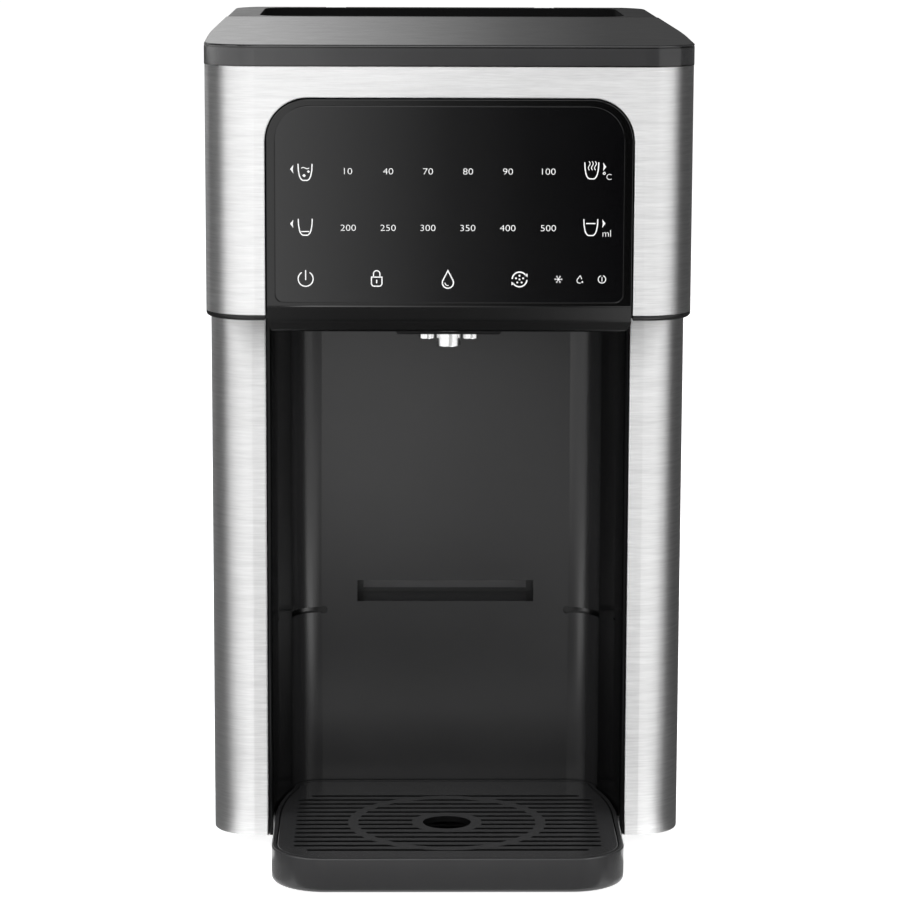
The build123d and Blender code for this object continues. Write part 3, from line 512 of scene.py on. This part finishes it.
def text(name, body, x, z, size, stretch):
    """Plain printed number, centred at (x, z), cap height size and widened by stretch, all in millimetres."""
    cu = bpy.data.curves.new(name, "FONT")
    cu.body = body
    cu.align_x, cu.align_y = "LEFT", "BOTTOM_BASELINE"
    cu.size = 1.0
    cu.resolution_u = 6
    cu.offset = -0.014
    o = bpy.data.objects.new(name, cu)
    scene.collection.objects.link(o)
    bpy.context.view_layer.update()
    me = bpy.data.meshes.new_from_object(o.evaluated_get(bpy.context.evaluated_depsgraph_get()))
    bpy.data.objects.remove(o)
    bpy.data.curves.remove(cu)
    xs = [v.co.x for v in me.vertices]
    ys = [v.co.y for v in me.vertices]
    s = size / (max(ys) - min(ys))
    mx, my = (max(xs) + min(xs)) / 2, (max(ys) + min(ys)) / 2
    verts = [((v.co.x - mx) * s * stretch + x, (v.co.y - my) * s + z) for v in me.vertices]
    faces = [tuple(p.vertices) for p in me.polygons]
    bpy.data.meshes.remove(me)
    return verts, faces


def lettering(name, items):
    """One mesh of flat printed numbers, extruded by the thickness of the print."""
    V, F = [], []
    for body, x, z, size, stretch in items:
        verts, faces = text(name, body, x, z, size, stretch)
        k, n = len(V), len(verts)
        V += [(a * MM, LEG_Y0 * MM, b * MM) for a, b in verts] + [(a * MM, LEG_Y1 * MM, b * MM) for a, b in verts]
        count = {}
        for f in faces:
            for i in range(len(f)):
                e = (f[i], f[(i + 1) % len(f)])
                count[frozenset(e)] = count.get(frozenset(e), 0) + 1
        for f in faces:
            F.append(tuple(k + i for i in f))
            F.append(tuple(k + n + i for i in reversed(f)))
            for i in range(len(f)):
                a, b = f[i], f[(i + 1) % len(f)]
                if count[frozenset((a, b))] == 1:
                    F.append((k + b, k + a, k + n + a, k + n + b))
    me = bpy.data.meshes.new(name)
    me.from_pydata(V, [], F)
    me.validate()
    me.update()
    o = bpy.data.objects.new(name, me)
    scene.collection.objects.link(o)
    me.materials.append(LEGEND)
    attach(o, "housing")
    return o


lettering("temperature_numbers", [(t, x, ROW1, 2.85, 1.2) for t, x in zip(("10", "40", "70", "80", "90", "100"), COLS)]
          + [("C", 74.2, 335.1, 2.7, 1.0)])
lettering("volume_numbers", [(t, x, ROW2, 2.85, 1.2) for t, x in zip(("200", "250", "300", "350", "400", "500"), COLS)]
          + [("ml", 73.4, 308.7, 3.0, 1.0)])
deg = Pen()
deg.line(arc(71.95, 336.75, 0.5, 0, 360, 16), 0.34, closed=True)
deg.make("degree_mark", LEGEND)


# ------------------------------------------------------------------ stage: floor, light cards, lights
def plane(name, corners, mat):
    me = bpy.data.meshes.new(name)
    me.from_pydata(corners, [], [(0, 1, 2, 3)])
    me.update()
    o = bpy.data.objects.new(name, me)
    scene.collection.objects.link(o)
    me.materials.append(mat)
    return o


def floor_mat():
    m, nt, b = new_mat("studio_floor")
    v = coords(nt, (1, 1, 1))
    nt.links.new(ramp(nt, noise(nt, v, 3, 2, 0.5), [(0.3, 0.80), (0.7, 0.82)]), b.inputs["Base Color"])
    b.inputs["Roughness"].default_value = 0.8
    b.inputs["Specular IOR Level"].default_value = 0.1
    sep = nt.nodes.new("ShaderNodeSeparateXYZ")
    nt.links.new(coords(nt, (1, 1, 1)), sep.inputs["Vector"])
    nt.links.new(ramp(nt, remap(nt, sep.outputs["Y"], 0.0, 1.0, 0.0, 2.0), [(0.0, 0.90), (0.3, 0.92), (1.0, 1.0)]), b.inputs["Emission Color"])
    b.inputs["Emission Strength"].default_value = 1.0
    return m


plane("studio_floor", [(-20, -20, -0.0003), (20, -20, -0.0003), (20, 20, -0.0003), (-20, 20, -0.0003)], floor_mat())


def glow_mat(name, axis, stops, strength):
    """Softbox cloth with a graded brightness; stops are (position in metres along the axis, level)."""
    m = bpy.data.materials.new(name)
    m.use_nodes = True
    nt = m.node_tree
    nt.nodes.clear()
    out = nt.nodes.new("ShaderNodeOutputMaterial")
    em = nt.nodes.new("ShaderNodeEmission")
    tc = nt.nodes.new("ShaderNodeTexCoord")
    sep = nt.nodes.new("ShaderNodeSeparateXYZ")
    nt.links.new(tc.outputs["Object"], sep.inputs["Vector"])
    lo, hi = stops[0][0], stops[-1][0]
    f = remap(nt, sep.outputs[axis], 0.0, 1.0, lo, hi)
    top = max(c for _, c in stops)
    col = ramp(nt, f, [((p - lo) / (hi - lo), c / top) for p, c in stops])
    nt.links.new(col, em.inputs["Color"])
    em.inputs["Strength"].default_value = strength * top
    nt.links.new(em.outputs["Emission"], out.inputs["Surface"])
    return m


def glow_card(name, corners, axis, stops, strength=1.0, diffuse=False):
    """A card that the camera does not see; without diffuse only the glossy surfaces see it."""
    o = plane(name, corners, glow_mat(name, axis, stops, strength))
    o.visible_camera = False
    o.visible_shadow = False
    o.visible_diffuse = diffuse
    return o


def curtain(name, pts, z0, z1, axis, stops):
    """A standing wall of light along pts, seen by everything but the camera."""
    V = [(x, y, z0) for x, y in pts] + [(x, y, z1) for x, y in pts]
    k = len(pts)
    me = bpy.data.meshes.new(name)
    me.from_pydata(V, [], [(i, i + 1, k + i + 1, k + i) for i in range(k - 1)])
    me.update()
    o = bpy.data.objects.new(name, me)
    scene.collection.objects.link(o)
    me.materials.append(glow_mat(name, axis, stops, 1.0))
    o.visible_camera = False
    o.visible_shadow = False
    return o


def bow(a0, a1, n, r=2.4):
    out = []
    for i in range(n + 1):
        a = math.radians(a0 + (a1 - a0) * i / n)
        out.append((r * math.sin(a), -r * math.cos(a)))
    return out


# a plain pale backdrop far behind, for the camera only
backdrop = curtain("studio_backdrop", bow(-180, 180, 64, 19.0), -0.001, 14.0, "Z", [(-0.001, 1.05), (14.0, 1.05)])
backdrop.visible_camera = True
backdrop.visible_diffuse = False
backdrop.visible_glossy = False
# a half round wall of light in front of the object that fades out beside it
T0, T1 = 0.52, 2.4
curtain("light_front", bow(-50, 50, 24), T0, T1, "X", [(-1.84, 2.28), (-0.7, 2.7), (-0.25, 3.55), (0.0, 3.2), (0.25, 1.8), (0.6, 1.85), (1.84, 1.92)])
curtain("light_left", [(-2.4, 0.5)] + bow(-90, -50, 12), T0, T1, "Y",
        [(-1.543, 2.28), (-0.95, 2.15), (-0.75, 1.45), (-0.5, 0.45), (-0.3, 0.1), (-0.1, 0.04), (0.5, 0.04)])
curtain("light_right", bow(50, 90, 12) + [(2.4, 0.5)], T0, T1, "Y",
        [(-1.543, 1.92), (-1.1, 1.92), (-0.85, 1.55), (-0.55, 0.55), (-0.3, 0.12), (-0.1, 0.06), (0.5, 0.10)])
glow_card("front_card", [(-0.9, -1.42, 0.0), (0.9, -1.42, 0.0), (0.9, -1.42, 0.34), (-0.9, -1.42, 0.34)], "X",
          [(-0.9, 0.8), (-0.35, 1.0), (-0.2, 1.5), (-0.16, 1.6), (-0.123, 1.4), (-0.065, 0.92), (0.018, 0.31), (0.085, 0.10), (0.16, 0.01), (0.9, 0.06)])
glow_card("upper_left_card", [(-1.1, -1.415, 0.30), (-0.05, -1.415, 0.30), (-0.05, -1.415, 0.37), (-1.1, -1.415, 0.37)], "X",
          [(-1.1, 2.8), (-0.3, 2.9), (-0.2, 3.3), (-0.13, 2.6), (-0.05, 0.2)])
glow_card("upper_left_strip", [(-1.0, -1.40, 0.29), (-1.62, -0.25, 0.29), (-1.62, -0.25, 0.36), (-1.0, -1.40, 0.36)], "Y",
          [(-1.40, 2.8), (-0.9, 2.8), (-0.25, 3.2)])
glow_card("left_low_strip", [(-2.0, -0.4, 0.255), (-2.0, 3.0, 0.255), (-2.0, 3.0, 0.315), (-2.0, -0.4, 0.315)], "Y",
          [(-0.4, 3.2), (-0.1, 4.4), (0.4, 4.2), (1.1, 2.4), (3.0, 1.6)])
glow_card("rear_card", [(-1.6, 1.5, 0.42), (1.6, 1.5, 0.42), (1.6, 1.5, 1.5), (-1.6, 1.5, 1.5)], "X",
          [(-1.6, 0.75), (-0.3, 0.79), (-0.15, 0.66), (-0.075, 0.47), (0.0, 0.31), (0.085, 0.15), (0.17, 0.08), (1.6, 0.06)])
FZ = 0.0006
glow_card("front_floor_card", [(-0.10, -0.80, FZ), (0.10, -0.80, FZ), (0.10, -0.227, FZ), (-0.10, -0.227, FZ)], "Y",
          [(-0.80, 0.32), (-0.6, 0.09), (-0.32, 0.03), (-0.227, 0.12)])
glow_card("far_floor_card", [(-0.10, -1.41, FZ), (0.10, -1.41, FZ), (0.10, -0.80, FZ), (-0.10, -0.80, FZ)], "X",
          [(-0.10, 3.8), (0.0, 1.2), (0.10, 0.15)])
glow_card("low_front_card", [(-0.10, -1.412, 0.001), (0.10, -1.412, 0.001), (0.10, -1.412, 0.095), (-0.10, -1.412, 0.095)], "X",
          [(-0.10, 3.0), (0.0, 1.6), (0.10, 0.2)])
glow_card("tray_card", [(-0.085, -0.29, 0.001), (0.085, -0.29, 0.001), (0.085, -0.29, 0.014), (-0.085, -0.29, 0.014)], "X",
          [(-0.085, 2.4), (-0.03, 1.6), (0.085, 1.4)])
for s, n, level in ((-1, "left", 3.6), (1, "right", 4.5)):
    far, mid, near = s * 0.42, s * 0.30, s * 0.118
    glow_card("low_card_" + n, [(near, -0.32, 0.004), (far, -0.32, 0.004), (far, -0.32, 0.05), (near, -0.32, 0.05)], "X",
              sorted([(far, 0.3), (mid, level), (near, level)]))
glow_card("front_floor_card_left", [(-1.6, -1.41, FZ), (-0.10, -1.41, FZ), (-0.10, -0.22, FZ), (-1.6, -0.22, FZ)], "X",
          [(-1.6, 0.8), (-0.5, 1.1), (-0.25, 1.3), (-0.16, 0.7), (-0.10, 0.45)])
glow_card("tray_floor_card_left", [(-1.6, -0.35, FZ + 0.0002), (-0.10, -0.35, FZ + 0.0002), (-0.10, -0.22, FZ + 0.0002), (-1.6, -0.22, FZ + 0.0002)], "Y",
          [(-0.35, 1.0), (-0.32, 0.8), (-0.27, 0.3), (-0.22, 0.08)])
glow_card("front_floor_card_right", [(0.10, -1.41, FZ), (1.6, -1.41, FZ), (1.6, -0.70, FZ), (0.10, -0.70, FZ)], "X",
          [(0.10, 0.15), (0.13, 0.8), (0.16, 1.8), (0.20, 1.9), (0.28, 1.6), (0.5, 1.3), (1.6, 0.8)])
glow_card("near_floor_card_right", [(0.10, -0.70, FZ), (1.6, -0.70, FZ), (1.6, -0.22, FZ), (0.10, -0.22, FZ)], "X",
          [(0.10, 1.4), (0.15, 1.8), (0.20, 1.9), (0.5, 1.2), (1.6, 0.8)])
glow_card("tray_floor_card_right", [(0.10, -0.35, FZ + 0.0002), (1.6, -0.35, FZ + 0.0002), (1.6, -0.22, FZ + 0.0002), (0.10, -0.22, FZ + 0.0002)], "Y",
          [(-0.35, 1.9), (-0.32, 0.8), (-0.27, 0.25), (-0.22, 0.06)])
for s, n, far in ((-1, "left", 14.0), (1, "right", 14.0)):
    x0, x1 = sorted((s * 0.088, s * 0.119))
    glow_card("tray_side_card_" + n, [(x0, -0.225, FZ), (x1, -0.225, FZ), (x1, -0.17, FZ), (x0, -0.17, FZ)], "X", [(x0, 0.55), (x1, 0.55)])
    x0, x1 = sorted((s * 0.119, s * far))
    glow_card("side_floor_card_" + n, [(x0, -0.22, FZ), (x1, -0.22, FZ), (x1, far, FZ), (x0, far, FZ)], "Y",
              [(-0.22, 0.20), (0.05, 0.09), (far, 0.13)])


def area(name, loc, target, size, power, size_y=None):
    li = bpy.data.lights.new(name, "AREA")
    li.shape = "RECTANGLE"
    li.size = size
    li.size_y = size_y or size
    li.energy = power
    o = bpy.data.objects.new(name, li)
    scene.collection.objects.link(o)
    o.location = loc
    o.rotation_euler = (Vector(target) - Vector(loc)).to_track_quat("-Z", "Y").to_euler()
    return o


area("top_box", (0, -0.3, 2.7), (0, 0, 0), 2.0, 60).visible_glossy = False

world = bpy.data.worlds.new("studio")
world.use_nodes = True
bg = world.node_tree.nodes["Background"]
bg.inputs["Color"].default_value = (1, 1, 1, 1)
bg.inputs["Strength"].default_value = 0.07
scene.world = world
scene.view_settings.view_transform = "Standard"

# ------------------------------------------------------------------ camera
cam = bpy.data.cameras.new("camera")
cam.sensor_fit = "HORIZONTAL"
cam.sensor_width = 36.0
cam.lens = 139.54
cam.clip_start, cam.clip_end = 0.05, 60
co = bpy.data.objects.new("camera", cam)
scene.collection.objects.link(co)
pitch, yaw, roll = math.radians(9.682), math.radians(0.857), math.radians(0.2)
fw = Vector((math.sin(yaw) * math.cos(pitch), math.cos(yaw) * math.cos(pitch), -math.sin(pitch)))
rt = Vector((math.cos(yaw), -math.sin(yaw), 0))
up = rt.cross(fw)
r2 = rt * math.cos(roll) + up * math.sin(roll)
u2 = up * math.cos(roll) - rt * math.sin(roll)
rot = Matrix((r2, u2, -fw)).transposed()
co.matrix_world = Matrix.Translation((-0.0237, -1.8088, 0.4827)) @ rot.to_4x4()
scene.camera = co
